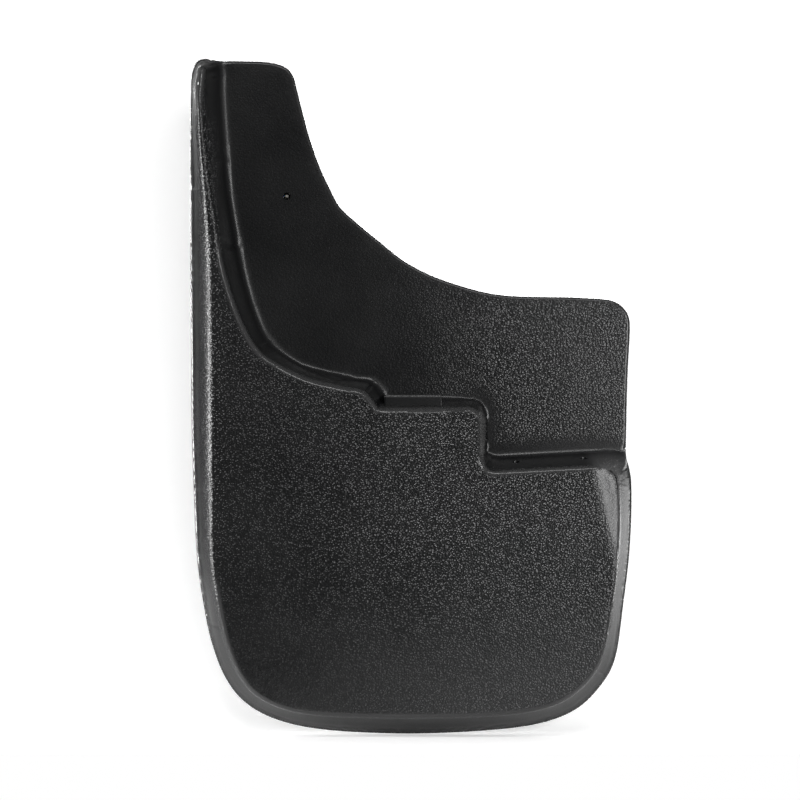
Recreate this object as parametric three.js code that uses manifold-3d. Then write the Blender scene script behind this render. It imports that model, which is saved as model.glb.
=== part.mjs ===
// Moulded wheel-arch mud guard with its four captive fixing screws.
//
// Frame (millimetres): X runs across the guard, Z is up, and the grained front faces -Y. The origin is
// on the front of the mounting web, the flat recessed sheet that lies against the vehicle.
// The lower panel, the border and the ridge stand proud of the web, and are hollow behind.

import * as THREE from "three";
import { mergeVertices } from "three/addons/utils/BufferGeometryUtils.js";
import Module from "manifold-3d";

const wasm = await Module();
wasm.setup();

// ---- driving dimensions -------------------------------------------------------------------------

// The outlines below are drawn on a 287 x 440 mm guard, and stretch with these two sizes.
const GUARD_WIDTH = 287;
const GUARD_HEIGHT = 440;
const DRAWN_WIDTH = 287;
const DRAWN_HEIGHT = 440;

const PANEL_HEIGHT = 28; // from the web's front to the front of the lower panel
const WALL = 3; // of the moulding
const PAD_LENGTH = 37; // flat landing pad on the upper ledge
const PAD_REACH = 17; // from the web's front

// Screw: 4.2 mm tapping screw with a hexagon washer head
const SHANK_DIAMETER = 4.2;
const POINT_LENGTH = 4;
const HEX_ACROSS_FLATS = 8;
const HEX_HEIGHT = 4;
const FLANGE_DIAMETER = 11;
const FLANGE_THICKNESS = 1;

const WASHER_OUTER = 15;
const WASHER_THICKNESS = 1.2;
const RETAINER_OUTER = 9;
const RETAINER_THICKNESS = 1.6;

const SHANK_CLEARANCE = 0.25; // all round the shank, in the boss and in the washers
const STACK_GAP = 0.3; // between head, washer and retaining washer
const DRIVE_TRAVEL = 12; // how far each screw goes in from its waiting place

const BOSS_WALL = 3; // around the retaining washer's counterbore
const BOSS_DEPTH = 12; // from the outer surface to the seat of the flat washer
const COUNTERBORE_CLEARANCE = 0.6;

const GUSSET_THICKNESS = 2;
const GUSSET_REACH = 9; // of the web boss's gussets, beyond its side

const across = (x) => (x * GUARD_WIDTH) / DRAWN_WIDTH;
const up = (z) => (z * GUARD_HEIGHT) / DRAWN_HEIGHT;
const place = ([x, z]) => new THREE.Vector2(across(x), up(z));

// ---- outlines -----------------------------------------------------------------------------------

// Each run is a smooth stretch of the raised form, clockwise seen from the front, starting at the top
// of the left edge turned round: down the left side, along the bottom, up the right side and back
// over the ledges and the ridge. A station pairs a point at the foot of the wall with one at its crest.
const RAISED_RUNS = [
  {
    steps: 40, // outer edge
    foot: [
      [-71, 110.5], [-71.5, 78], [-71.5, 39], [-71.5, 0], [-71, -52], [-70.5, -109], [-69, -156],
      [-67, -195], [-62.5, -226], [-57.5, -249], [-49, -271], [-36, -287.5], [-15, -299], [16, -305.5],
      [65, -308], [114, -306.5], [153, -302], [179, -292.5], [196.5, -275.5], [205.5, -257],
      [210.5, -222.5], [214, -193.5], [215.5, -169], [215.5, -144.5], [214, -134.5],
    ],
    crest: [
      [-65.5, 106.5], [-63.5, 76], [-59.5, 37.5], [-56, -2.5], [-55, -52.5], [-55, -110.5], [-55, -157],
      [-54.5, -193.5], [-50.5, -223], [-45.5, -247], [-37.5, -267], [-26, -280.5], [-6, -289.5], [22, -293],
      [65, -294], [110, -293.5], [147, -290.5], [169.5, -283.5], [187, -269], [195.5, -251.5],
      [201.5, -218], [205, -190.5], [206, -165], [205, -145.5], [203, -138.5],
    ],
  },
  { steps: 1, foot: [[212, -125.5], [199, -123]], crest: [[201, -134], [193.5, -134.5]] },
  { steps: 1, foot: [[123.5, -127]], crest: [[124, -138.2]] }, // lower ledge
  { steps: 4, foot: [[120, -123.5], [119.5, -99], [117, -93], [112.5, -90.5]],
    crest: [[118, -132], [116.5, -104], [114.5, -99.5], [109.5, -97]] },
  { steps: 1, foot: [[56, -89.5]], crest: [[49.5, -98]] }, // upper ledge
  {
    steps: 28, // step along the web and the inner side of the ridge
    foot: [
      [54, -85], [47, -78], [36, -76.5], [17.5, -73], [2, -68], [-11.5, -59.5], [-21.5, -49], [-28, -34],
      [-33.5, -15.5], [-37.5, 3], [-41.5, 24.5], [-45, 48], [-47, 75], [-49, 104], [-49.5, 120],
    ],
    crest: [
      [47.5, -94], [40, -86.5], [26.5, -83.5], [9, -79.5], [-6, -73.5], [-20.5, -65.5], [-29.5, -56.5],
      [-37.5, -42], [-44, -25.5], [-50.5, -2.5], [-55, 27.5], [-59, 50], [-61.5, 72], [-63.2, 98.5],
      [-62.5, 114.5],
    ],
  },
  { steps: 3, foot: [[-52, 129.5], [-63, 131.5], [-69, 126]], crest: [[-61.8, 120], [-63, 121.5], [-64.5, 117.5]] },
];

// Wall section from foot to crest: how far across, and how high as a share of the form's height.
const WALL_SECTION = [[0, 0], [0.12, 0.07], [0.45, 0.75], [0.62, 0.9], [0.8, 0.975], [1, 1]];

// Free edge of the web, from the top of the ridge round the arm and the concave side to the lower panel.
const WEB_EDGE = [
  [[-60, 129.6], [-50.5, 129.5], [-39.5, 129.5], [-23.5, 129], [-14.5, 127.5], [-8, 124.5], [-4, 119],
    [-2, 111.5], [2.5, 93.5], [7, 77.5], [13, 60.5], [20.5, 44.5], [26.5, 34]],
  [[38.5, 23], [52.5, 11.5], [67, 0], [84.5, -9.5], [104, -16.5], [123.5, -21.5], [143, -23.5], [172, -24],
    [193.5, -25], [203.5, -26.5], [210, -30.5], [214, -37.5], [214.5, -48.5], [213, -78], [212, -124]],
];
// The web runs on under the raised form, where the hollow cuts it back.
const WEB_UNDER = [[205, -140], [112, -140], [40, -105], [-30, -65], [-55, 0], [-62, 70]];

function smooth(points, steps) {
  const curve = new THREE.SplineCurve(points.map(place));
  return points.length > 1 ? curve.getPoints(steps) : [curve.points[0]];
}

function raisedOutlines() {
  const foot = RAISED_RUNS.flatMap((run) => smooth(run.foot, run.steps));
  const crest = RAISED_RUNS.flatMap((run) => smooth(run.crest, run.steps));
  return { foot, crest };
}

/** Moves each point of a closed outline inwards by a distance along its mean normal. */
function inset(points, distance) {
  const turn = THREE.ShapeUtils.isClockWise(points) ? -1 : 1;
  return points.map((p, i) => {
    const before = points[(i + points.length - 1) % points.length];
    const after = points[(i + 1) % points.length];
    const along = after.clone().sub(before).normalize();
    return new THREE.Vector2(p.x - along.y * turn * distance, p.y + along.x * turn * distance);
  });
}

// ---- solids -------------------------------------------------------------------------------------

function toSolid(geometry) {
  const bare = geometry.clone();
  bare.deleteAttribute("normal");
  bare.deleteAttribute("uv");
  const merged = mergeVertices(bare, 1e-4);
  return new wasm.Manifold(
    new wasm.Mesh({
      numProp: 3,
      vertProperties: new Float32Array(merged.attributes.position.array),
      triVerts: new Uint32Array(merged.index.array),
    }),
  );
}

function toGeometry(solid) {
  const mesh = solid.getMesh();
  const geometry = new THREE.BufferGeometry();
  geometry.setAttribute("position", new THREE.BufferAttribute(mesh.vertProperties, 3));
  geometry.setIndex(new THREE.BufferAttribute(mesh.triVerts, 1));
  geometry.computeVertexNormals();
  return geometry;
}

/** Turns geometry drawn in X and Z with its depth along Z so that the depth runs towards the front. */
const faceFront = (geometry) => geometry.rotateX(Math.PI / 2);

function nearestStation(outline, x, y) {
  const distances = outline.map((p) => Math.hypot(p.x - x, p.y - y));
  return distances.indexOf(Math.min(...distances));
}

/**
 * A form whose side walls follow a section between a foot outline and a crest outline.
 * The walls are an extrusion with one step per point of the section, drawn in to the crest.
 */
function raisedForm(foot, crest, height, section) {
  const levels = section.length - 1;
  const geometry = new THREE.ExtrudeGeometry(new THREE.Shape(foot), {
    steps: levels, depth: levels, bevelEnabled: false,
  });
  const position = geometry.attributes.position;
  for (let v = 0; v < position.count; v += 1) {
    const i = nearestStation(foot, position.getX(v), position.getY(v));
    const [inward, rise] = section[Math.round(position.getZ(v))];
    const point = foot[i].clone().lerp(crest[i], inward);
    position.setXYZ(v, point.x, point.y, rise * height);
  }
  return faceFront(geometry);
}

/** A plate of the given outline, its front at `front` and its back at `back` along Y. */
function plate(points, front, back) {
  const geometry = new THREE.ExtrudeGeometry(new THREE.Shape(points), {
    depth: back - front, bevelEnabled: false, curveSegments: 6,
  });
  return faceFront(geometry).translate(0, back, 0);
}

/** A cylinder along a fixing's axis, from `near` to `far` measured back from the outer surface. */
function alongFixing(fixing, radius, near, far, sides) {
  const geometry = new THREE.CylinderGeometry(radius, radius, far - near, sides);
  geometry.translate(0, (near + far) / 2, 0);
  return geometry.applyMatrix4(fixing.matrix);
}

// ---- fixings ------------------------------------------------------------------------------------

const LEDGE_AXIS_Y = -11; // the ledge screws stand this far forward of the web

// The landing pad's left end and level top, and how far it is rooted in the ledge.
const PAD_START = 55;
const PAD_TOP = -87.6;
const PAD_ROOT = 8;

// Each fixing's point lies where its screw's tip waits, and `back` points towards its head.
const FIXINGS = [
  { name: "web", point: [-8.5, 0, 41.5], back: new THREE.Vector3(0, 1, 0) },
  { name: "upper_ledge", point: [78, LEDGE_AXIS_Y, -90], back: new THREE.Vector3(0, 0, -1) },
  { name: "lower_ledge_inner", point: [140, LEDGE_AXIS_Y, -131.5], back: new THREE.Vector3(0, 0, -1) },
  { name: "lower_ledge_outer", point: [184, LEDGE_AXIS_Y, -129.5], back: new THREE.Vector3(0, 0, -1) },
].map((fixing, i) => {
  const [x, y, z] = fixing.point;
  const turn = new THREE.Quaternion().setFromUnitVectors(new THREE.Vector3(0, 1, 0), fixing.back);
  const matrix = new THREE.Matrix4().compose(
    new THREE.Vector3(across(x), y, up(z)), turn, new THREE.Vector3(1, 1, 1));
  return { ...fixing, number: i + 1, matrix };
});

const SHANK_LENGTH = BOSS_DEPTH + DRIVE_TRAVEL + WASHER_THICKNESS + 2 * STACK_GAP;
const BORE_RADIUS = SHANK_DIAMETER / 2 + SHANK_CLEARANCE;
const COUNTERBORE_RADIUS = RETAINER_OUTER / 2 + COUNTERBORE_CLEARANCE;
const COUNTERBORE_DEPTH = RETAINER_THICKNESS + 2 * STACK_GAP;
const BOSS_RADIUS = COUNTERBORE_RADIUS + BOSS_WALL;
const BORE_SIDES = 20;

function bossSolid(fixing, outerForm) {
  const overshoot = fixing.back.y ? 0 : 12; // a ledge boss runs up into its sloping wall
  const boss = toSolid(alongFixing(fixing, BOSS_RADIUS, -overshoot, BOSS_DEPTH, 28));
  return overshoot ? boss.intersect(outerForm) : boss;
}

function boreSolid(fixing) {
  const through = 20;
  const bore = toSolid(alongFixing(fixing, BORE_RADIUS, -through, BOSS_DEPTH + 1, BORE_SIDES));
  const seat = alongFixing(fixing, COUNTERBORE_RADIUS, BOSS_DEPTH - COUNTERBORE_DEPTH, BOSS_DEPTH + 1, BORE_SIDES);
  return bore.add(toSolid(seat));
}

// ---- guard shell --------------------------------------------------------------------------------

function webPlate() {
  const edge = WEB_EDGE.flatMap((run) => smooth(run, run.length * 2 - 2));
  return toSolid(plate([...edge, ...WEB_UNDER.map(place)], 0, WALL));
}

/** A block standing on the upper ledge, with a level top that the vehicle's flange lands on. */
function ledgePad() {
  const left = place([PAD_START, PAD_TOP]);
  const outline = [
    left, new THREE.Vector2(left.x + PAD_LENGTH, left.y),
    new THREE.Vector2(left.x + PAD_LENGTH, left.y - PAD_ROOT), new THREE.Vector2(left.x, left.y - PAD_ROOT),
  ];
  return toSolid(plate(outline, -PAD_REACH, WALL / 2));
}

/** A rib that ties a ledge boss to the front wall. */
function ledgeGusset(fixing, outerForm) {
  const [x, z] = [fixing.matrix.elements[12], fixing.matrix.elements[14]];
  const half = GUSSET_THICKNESS / 2;
  const outline = [[x - half, z - BOSS_DEPTH], [x + half, z - BOSS_DEPTH], [x + half, z + 8], [x - half, z + 8]]
    .map(([a, b]) => new THREE.Vector2(a, b));
  return toSolid(plate(outline, -PANEL_HEIGHT + WALL / 2, LEDGE_AXIS_Y)).intersect(outerForm);
}

/** Four three-cornered ribs round the web's boss. */
function webGussets(fixing) {
  const foot = BOSS_RADIUS + GUSSET_REACH;
  const corners = [[0, WALL / 2], [foot, WALL / 2], [foot, WALL + 0.5], [BOSS_RADIUS, BOSS_DEPTH - 1], [0, BOSS_DEPTH - 1]]
    .map(([x, y]) => new THREE.Vector2(x, y));
  return [0, 1, 2, 3].map((quarter) => {
    const rib = new THREE.ExtrudeGeometry(new THREE.Shape(corners), { depth: GUSSET_THICKNESS, bevelEnabled: false });
    rib.translate(0, 0, -GUSSET_THICKNESS / 2).rotateY((quarter + 0.5) * (Math.PI / 2));
    return toSolid(rib.applyMatrix4(fixing.matrix));
  });
}

function guardShell() {
  const { foot, crest } = raisedOutlines();
  const outer = toSolid(raisedForm(foot, crest, PANEL_HEIGHT + WALL, WALL_SECTION)).translate([0, WALL, 0]);
  const innerFoot = inset(foot, WALL);
  const hollow = toSolid(raisedForm(innerFoot, crest, PANEL_HEIGHT, WALL_SECTION)).translate([0, WALL, 0]);
  const mouth = toSolid(plate(innerFoot, WALL - 0.01, WALL + 5));
  let shell = outer.add(webPlate()).add(ledgePad()).subtract(hollow.add(mouth));
  for (const fixing of FIXINGS) {
    const onWeb = fixing.back.y > 0;
    const ribs = onWeb ? webGussets(fixing) : [ledgeGusset(fixing, outer)];
    for (const piece of [bossSolid(fixing, outer), ...ribs]) shell = shell.add(piece);
  }
  for (const fixing of FIXINGS) shell = shell.subtract(boreSolid(fixing));
  return shell;
}

// ---- screws and washers -------------------------------------------------------------------------

function screwGeometry(fixing) {
  const r = SHANK_DIAMETER / 2;
  const end = SHANK_LENGTH + FLANGE_THICKNESS;
  const profile = [
    [0, 0], [r * 0.45, 0], [r, POINT_LENGTH], [r, SHANK_LENGTH], [FLANGE_DIAMETER / 2, SHANK_LENGTH],
    [FLANGE_DIAMETER / 2, end], [0, end],
  ].map(([x, y]) => new THREE.Vector2(x, y));
  const shank = toSolid(new THREE.LatheGeometry(profile, BORE_SIDES));
  const corner = HEX_ACROSS_FLATS / Math.sqrt(3);
  const hex = new THREE.CylinderGeometry(corner, corner, HEX_HEIGHT + FLANGE_THICKNESS / 2, 6);
  hex.translate(0, end + HEX_HEIGHT / 2 - FLANGE_THICKNESS / 4, 0);
  return toGeometry(shank.add(toSolid(hex))).applyMatrix4(fixing.matrix);
}

function ringGeometry(fixing, outer, near, far) {
  const inner = SHANK_DIAMETER / 2 + SHANK_CLEARANCE;
  const profile = [[inner, near], [outer / 2, near], [outer / 2, far], [inner, far], [inner, near]]
    .map(([x, y]) => new THREE.Vector2(x, y));
  return new THREE.LatheGeometry(profile, BORE_SIDES).applyMatrix4(fixing.matrix);
}

const WASHER_FAR = SHANK_LENGTH - STACK_GAP;
const WASHER_NEAR = WASHER_FAR - WASHER_THICKNESS;
const RETAINER_FAR = WASHER_NEAR - STACK_GAP;
const RETAINER_NEAR = RETAINER_FAR - RETAINER_THICKNESS;

// ---- materials and assembly ---------------------------------------------------------------------

const moulded = new THREE.MeshStandardMaterial({ color: 0x17181a, roughness: 0.7, metalness: 0 });
const steel = new THREE.MeshStandardMaterial({ color: 0x8d9094, roughness: 0.35, metalness: 1 });
const nylon = new THREE.MeshStandardMaterial({ color: 0xd9d6cc, roughness: 0.5, metalness: 0 });

function named(name, geometry, material) {
  const mesh = new THREE.Mesh(geometry, material);
  mesh.name = name;
  return mesh;
}

const guard = new THREE.Group();
guard.add(named("guard_shell", toGeometry(guardShell()), moulded));
for (const fixing of FIXINGS) {
  const washer = ringGeometry(fixing, WASHER_OUTER, WASHER_NEAR, WASHER_FAR);
  const retainer = ringGeometry(fixing, RETAINER_OUTER, RETAINER_NEAR, RETAINER_FAR);
  guard.add(named(`screw_${fixing.name}`, screwGeometry(fixing), steel));
  guard.add(named(`washer_${fixing.name}`, washer, steel));
  guard.add(named(`retaining_washer_${fixing.name}`, retainer, nylon));
}

export default guard;
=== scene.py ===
"""Looks of the moulded mud guard: its grained shell, its captive screws, a pale stage and soft light.

Lengths are in metres in the frame; outlines are written in millimetres and scaled by MM.
X runs across the guard, Z is up and the grained front faces -Y. The web's front lies at y = 0.
"""

import math

import bmesh
import bpy
import numpy as np
from mathutils import Matrix, Vector
from mathutils.geometry import delaunay_2d_cdt


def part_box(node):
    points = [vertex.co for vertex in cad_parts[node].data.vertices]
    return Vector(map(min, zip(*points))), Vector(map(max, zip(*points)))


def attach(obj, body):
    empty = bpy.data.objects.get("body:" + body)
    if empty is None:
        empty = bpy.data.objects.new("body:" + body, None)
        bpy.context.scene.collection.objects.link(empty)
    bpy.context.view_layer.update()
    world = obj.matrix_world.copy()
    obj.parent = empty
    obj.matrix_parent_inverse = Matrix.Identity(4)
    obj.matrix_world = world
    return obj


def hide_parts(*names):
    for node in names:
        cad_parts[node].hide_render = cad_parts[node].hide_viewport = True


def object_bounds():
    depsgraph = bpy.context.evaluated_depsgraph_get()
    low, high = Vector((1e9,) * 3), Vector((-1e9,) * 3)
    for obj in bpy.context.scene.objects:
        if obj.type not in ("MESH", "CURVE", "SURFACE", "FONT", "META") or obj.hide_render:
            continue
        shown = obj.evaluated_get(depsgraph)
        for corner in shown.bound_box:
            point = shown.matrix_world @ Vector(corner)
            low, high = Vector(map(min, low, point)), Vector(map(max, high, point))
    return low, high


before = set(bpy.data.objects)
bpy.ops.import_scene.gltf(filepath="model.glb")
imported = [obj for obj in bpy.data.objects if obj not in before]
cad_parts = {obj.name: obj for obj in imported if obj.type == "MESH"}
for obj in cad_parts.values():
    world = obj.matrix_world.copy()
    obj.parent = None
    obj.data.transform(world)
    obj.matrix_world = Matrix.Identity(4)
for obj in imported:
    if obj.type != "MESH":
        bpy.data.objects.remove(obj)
CAD_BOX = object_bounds()
MM = 0.001

# ---- sizes of the shell (mm) ---------------------------------------------------------------------

PANEL_HEIGHT = 28.0  # web's front to the front of the lower panel
WALL = 3.0
EDGE_Y = 2.0  # the free edge's outermost line lies this far behind the web's front
EDGE_FRONT_RADIUS = 2.0
EDGE_BACK_RADIUS = 1.0
RING_STEP = 1.6  # along the outlines
FILL_STEP = 4.5  # between points on the flats

# Runs of the raised form, seen from the front: each point of a foot pairs with one of its crest, and a
# run has so many steps. "round" is the rounding at the top of the wall, "soft" the one at its foot, both
# as shares of its height, and "cove" is 1 where the foot has the coved band of COVE, 0 where it has none.
# A run without its own takes LEDGE_ROUND, LEDGE_SOFT and 1. "lip" is the flat rim outside the foot.
OUTER = {
    "foot": [
        (-71, 110.5), (-71.5, 78), (-71.5, 39), (-71.5, 0), (-71, -52), (-70.5, -109), (-69, -156),
        (-67, -195), (-62.5, -226), (-57.5, -249), (-49, -271), (-36, -287.5), (-15, -299), (16, -305.5),
        (65, -308), (114, -306.5), (153, -302), (179, -292.5), (196.5, -275.5), (205.5, -257),
        (210.5, -222.5), (214, -193.5), (215.5, -169), (215.5, -144.5), (214, -134.5),
    ],
    "crest": [
        (-65.5, 106.5), (-63.5, 76), (-59.5, 37.5), (-56, -2.5), (-55, -52.5), (-55, -110.5),
        (-55, -157), (-54.5, -193.5), (-50.5, -223), (-45.5, -247), (-37.5, -267), (-26, -280.5),
        (-6, -289.5), (22, -293), (65, -294), (110, -293.5), (147, -290.5), (169.5, -283.5), (187, -269),
        (195.5, -251.5), (201.5, -218), (205, -190.5), (206, -165), (205, -145.5), (203, -138.5),
    ],
    # broad down the left side, tight along the bottom and the right
    "round": [0.5, 0.5, 0.5, 0.6, 0.62, 0.62, 0.62, 0.6, 0.5, 0.38, 0.26, 0.18] + [0.14] * 13,
    "soft": 0.05,
    "cove": 0.0,
    "lip": 1.6,
    "steps": 560,
}
LEDGES = [
    {"foot": [(212, -125.5), (199, -123)], "crest": [(201, -134), (193.5, -134.5)], "steps": 8},
    {"foot": [(199, -123), (123.5, -127)], "crest": [(193.5, -134.5), (124, -138.2)], "steps": 48},
    {"foot": [(123.5, -127), (120, -123.5), (119.5, -99), (117, -93), (112.5, -90.5)],
     "crest": [(124, -138.2), (118, -132), (116.5, -104), (114.5, -99.5), (109.5, -97)], "steps": 36,
     "cove": 0.0, "soft": 0.03},
    {"foot": [(112.5, -90.5), (56, -89.5)], "crest": [(109.5, -97), (49.5, -98)], "steps": 36},
    {"foot": [(56, -89.5), (54, -85), (47, -78), (36, -76.5), (17.5, -73), (2, -68), (-11.5, -59.5),
              (-21.5, -49), (-28, -34), (-33.5, -15.5), (-37.5, 3), (-41.5, 24.5), (-45, 48), (-47, 75),
              (-49, 104), (-49.5, 120)],
     "crest": [(49.5, -98), (47.5, -94), (40, -86.5), (26.5, -83.5), (9, -79.5), (-6, -73.5),
               (-20.5, -65.5), (-29.5, -56.5), (-37.5, -42), (-44, -25.5), (-50.5, -2.5), (-55, 27.5),
               (-59, 50), (-61.5, 72), (-63.2, 98.5), (-62.5, 114.5)], "steps": 190},
    {"foot": [(-49.5, 120), (-52, 129.5), (-63, 131.5), (-69, 126), (-71, 110.5)],
     "crest": [(-62.5, 114.5), (-61.8, 120), (-63, 121.5), (-64.5, 117.5), (-65.5, 106.5)], "steps": 40},
]
LEDGE_ROUND, LEDGE_SOFT = 0.28, 0.16
STATION_EASE = 8  # stations over which these values pass into each other where runs meet
COVE = {"reach": 2.7, "height": 1.5}  # gentle band on either side of a ledge's foot
HOLLOW_WALL_LEAST = 2.6  # where a wall of the hollow is narrower, its crest is moved inwards

# Free edge of the web, from the ridge's top round the arm and the concave side to the lower panel
WEB_EDGE = [
    (-60, 129.6), (-50.5, 129.5), (-39.5, 129.5), (-23.5, 129), (-14.5, 127.5), (-8, 124.5), (-4, 119),
    (-2, 111.5), (2.5, 93.5), (7, 77.5), (13, 60.5), (20.5, 44.5), (26.5, 34), (38.5, 23), (52.5, 11.5),
    (67, 0), (84.5, -9.5), (104, -16.5), (123.5, -21.5), (143, -23.5), (172, -24), (193.5, -25),
    (203.5, -26.5), (210, -30.5), (214, -37.5), (214.5, -48.5), (213, -78), (212, -124),
]
PAD = {"x": (55.0, 92.0), "top": -87.6, "reach": 17.0}

# A shallow facet on the panel, beside the right edge: right of this line the face falls away
FACET_TOP, FACET_FOOT, FACET_FALL = (192.0, -141.5), (203.0, -190.0), 0.3
FACET_EASE = 3.0  # width over which the facet begins

# Where the mesh has points. ROWS run across a wall, as shares of the way from its foot to its crest; the
# others are distances in mm.
ROWS = (-0.38, -0.26, -0.16, -0.07, 0.02, 0.1, 0.17, 0.24, 0.32, 0.42, 0.52, 0.61, 0.69, 0.76, 0.82, 0.88,
        0.94, 1.0, 1.06, 1.12)
BEYOND = (0.5, 1.0, 1.6, 2.4, 3.5)  # rows outside a foot and inside a crest
FRONT_RINGS = (0.25, 0.6, 1.1, 1.6, 2.1)  # rows inside the free edge
BACK_RINGS = (0.2, 0.5, 1.0)
RIDGE_REACH = 3.6  # the ridge's top is where both of its crests are nearer than this
FINE_GAP = 0.48  # least distance between points on walls and edges
EDGE_GAP = 0.15  # and from the free edge
FRONT_PASSES, BACK_PASSES = 6, 4  # how often heights are eased

# What the mesh stores at each point for the material, from 0 to 1, and how much of each the back has
# Three of these also paint light into the colour: glints on the pebbles' tops, grey where light falls, and
# highlights on crests and rims.
FINISHES = ("grain", "gloss_and_highlight", "painted_glint", "pale", "matt")
BACK_FINISH = (0.3, 0.1, 0.15, 0.1, 0.0)


# ---- curves --------------------------------------------------------------------------------------


def spline(points, steps):
    """Catmull-Rom curve through points, sampled at steps + 1 places (the last one is left out)."""
    p = np.array(points, float)
    t = np.linspace(0, len(p) - 1, steps + 1)[:-1]
    i = np.minimum(t.astype(int), len(p) - 2)
    f = (t - i)[:, None] if p.ndim == 2 else t - i
    a, b = p[np.maximum(i - 1, 0)], p[i]
    c, d = p[i + 1], p[np.minimum(i + 2, len(p) - 1)]
    v0, v1 = (c - a) / 2, (d - b) / 2
    return (2 * b - 2 * c + v0 + v1) * f**3 + (-3 * b + 3 * c - 2 * v0 - v1) * f**2 + v0 * f + b


def spaced(points, step):
    """The same closed polyline with points an even step apart."""
    p = np.vstack([points, points[:1]])
    length = np.r_[0, np.cumsum(np.linalg.norm(np.diff(p, axis=0), axis=1))]
    s = np.linspace(0, length[-1], int(round(length[-1] / step)) + 1)[:-1]
    return np.c_[np.interp(s, length, p[:, 0]), np.interp(s, length, p[:, 1])]


def inset(points, distance):
    """A closed clockwise or anticlockwise loop moved inwards by a distance at each point."""
    along = np.roll(points, -1, 0) - np.roll(points, 1, 0)
    along /= np.linalg.norm(along, axis=1)[:, None]
    x, z = points.T
    turn = np.sign((x * np.roll(z, -1) - np.roll(x, -1) * z).sum())
    return points + np.c_[-along[:, 1], along[:, 0]] * turn * np.reshape(distance, (-1, 1))


def inside(points, loop):
    """Which points lie inside a closed loop."""
    x, z = points[:, :1], points[:, 1:]
    ax, az = loop.T
    bx, bz = np.roll(loop, -1, 0).T
    crosses = (az > z) != (bz > z)
    with np.errstate(divide="ignore", invalid="ignore"):
        at = ax + (z - az) * (bx - ax) / (bz - az)
    return (crosses & (x < at)).sum(1) % 2 == 1


def nearest(points, line, closed=True):
    """Distance from each point to a line, and the index of the nearest stretch."""
    a, b = (line, np.roll(line, -1, 0)) if closed else (line[:-1], line[1:])
    along = b - a
    square = (along**2).sum(1)
    distance, index = np.empty(len(points)), np.empty(len(points), int)
    batch = 2000  # points at a time, which saves memory
    for start in range(0, len(points), batch):
        part = slice(start, start + batch)
        p = points[part, None]
        t = np.clip(((p - a) * along).sum(2) / square, 0, 1)
        d = np.linalg.norm(p - a - t[..., None] * along, axis=2)
        index[part], distance[part] = d.argmin(1), d.min(1)
    return distance, index


def beside(points, line):
    """Distance from each point to an open line, above 0 on its left, and the nearest stretch's index."""
    distance, at = nearest(points, line, closed=False)
    a, along = line[at], line[at + 1] - line[at]
    t = np.clip(((points - a) * along).sum(1) / (along**2).sum(1), 0, 1)[:, None]
    away = points - a - t * along
    # the side is judged by the line's course over a few stretches, so that a bend doesn't flip it
    course = line[np.minimum(at + 3, len(line) - 1)] - line[np.maximum(at - 2, 0)]
    return distance * np.where(course[:, 0] * away[:, 1] < course[:, 1] * away[:, 0], -1, 1), at


def soft_min(a, b, k):
    """The lesser of two values, rounded off where they are within k of each other."""
    h = np.clip(k - abs(a - b), 0, None) / k
    return np.minimum(a, b) - h * h * k / 4


def soft_max(a, b, k):
    """The greater of two values, rounded off likewise."""
    return -soft_min(-a, -b, k)


def smoothed(values, reach):
    """Values round a loop, each replaced by the mean of those within reach stations of it."""
    kernel = np.ones(2 * reach + 1) / (2 * reach + 1)
    return np.convolve(np.r_[values[-reach:], values, values[:reach]], kernel, "valid")


def ramp(value, start, end):
    """0 at start, 1 at end and beyond, on a smooth curve."""
    t = np.clip((value - start) / (end - start), 0, 1)
    return t * t * (3 - 2 * t)


# ---- the shell's outlines and its height over the web ---------------------------------------------


def raised_loops():
    """The foot and crest loops, the outer edge, and the rounding, softness and cove at every station."""
    runs = [OUTER, *LEDGES]
    n = OUTER["steps"]
    foot = np.vstack([spline(r["foot"], r["steps"]) for r in runs])
    crest = np.vstack([spline(r["crest"], r["steps"]) for r in runs])

    def stations(key, usual):
        values = [np.full(r["steps"], r.get(key, usual)) for r in runs]
        return smoothed(np.concatenate(values), STATION_EASE)

    round_ = smoothed(np.r_[spline(OUTER["round"], n), np.full(len(foot) - n, LEDGE_ROUND)], STATION_EASE)
    soft, cove, lip = stations("soft", LEDGE_SOFT), stations("cove", 1.0), stations("lip", 0.0)
    return inset(foot, lip), crest, foot[:n], round_, soft, cove


FOOT, CREST, OUTER_EDGE, ROUND, SOFT, HAS_COVE = raised_loops()
WEB_LINE = spline(WEB_EDGE, 420)


def boundary_loop():
    """The free edge all round: the raised form's outer edge, then the web's edge back to its start."""
    ridge_top = spline([(-71, 110.5), (-70.7, 119), (-69, 126), (-66.5, 129.8), (-62.5, 131.2), (-58, 130.4),
                        (-52, 129.6)], 40)
    web = WEB_LINE[WEB_LINE[:, 0] > -50]
    corner = spline([(212, -124), (212.3, -128.5), (214, -134.5)], 8)
    return spaced(np.vstack([OUTER_EDGE, corner[::-1], web[::-1], ridge_top[::-1]]), RING_STEP)


BOUNDARY = boundary_loop()


def run_on(line, stations=8):
    """A line carried straight on at both ends, as far as its first and last stations reach."""
    first, last = line[stations : stations + 1], line[-stations - 1 : -stations]
    return np.vstack([2 * line[:1] - first, line, 2 * line[-1:] - last])


def wall(foot, crest, **values):
    """One run of wall, from its foot to its crest, with what varies along it."""
    foot_width, _ = nearest(foot, crest, closed=False)
    crest_width, _ = nearest(crest, foot, closed=False)
    made = {"foot": run_on(foot), "crest": run_on(crest)}
    return made | {"foot_width": foot_width, "crest_width": crest_width} | values


def padded(values, stations):
    """Values at the nearest stations of a line that was carried on at both ends."""
    return values[np.clip(stations - 1, 0, len(values) - 1)]


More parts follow.
